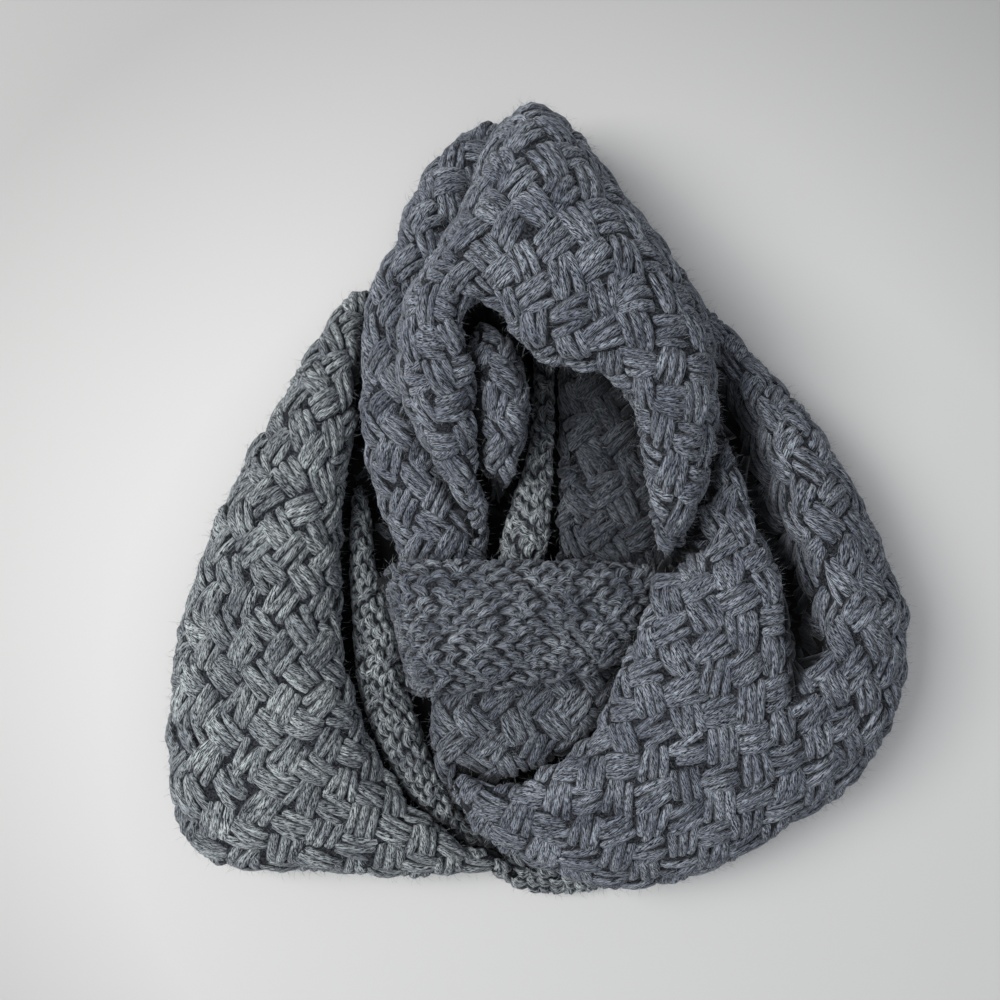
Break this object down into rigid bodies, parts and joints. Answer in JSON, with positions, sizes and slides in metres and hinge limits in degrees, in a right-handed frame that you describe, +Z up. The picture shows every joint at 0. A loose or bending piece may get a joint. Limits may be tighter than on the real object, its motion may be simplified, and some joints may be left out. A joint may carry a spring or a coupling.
{
  "type": "infinity scarf",
  "caption": "Chunky basket-cable knitted infinity scarf in heathered wool, doubled and dropped in a rounded heap, with its collar border and neck opening showing.",
  "frame": {"origin": "on the surface that the heap lies on, under the middle of its outline", "axes": "+Z up, +Y towards the tip of the hood-like fold at the back, +X towards the large right fold"},
  "size_m": [0.3826, 0.407, 0.1122],
  "materials": {
    "wool_hood": "heathered blue-grey wool, matt with a soft nap",
    "wool_front": "heathered blue-grey wool, matt with a soft nap",
    "wool_left": "heathered blue-grey wool, matt with a soft nap",
    "wool_border": "heathered blue-grey wool in purl stitches, matt",
    "wool_inside": "heathered blue-grey wool, matt, darker in the folds"
  },
  "bodies": {
    "root": {"hood_fold": "wool_hood", "right_front_fold": "wool_front", "collar_border": "wool_border", "collar_cables": "wool_front", "inner_roll": "wool_inside", "back_left_layer": "wool_left", "left_fold": "wool_left", "inner_edge": "wool_border", "inner_panel": "wool_inside", "selvedge_strip": "wool_border", "hidden_layers": "wool_inside"}
  },
  "joints": []
}
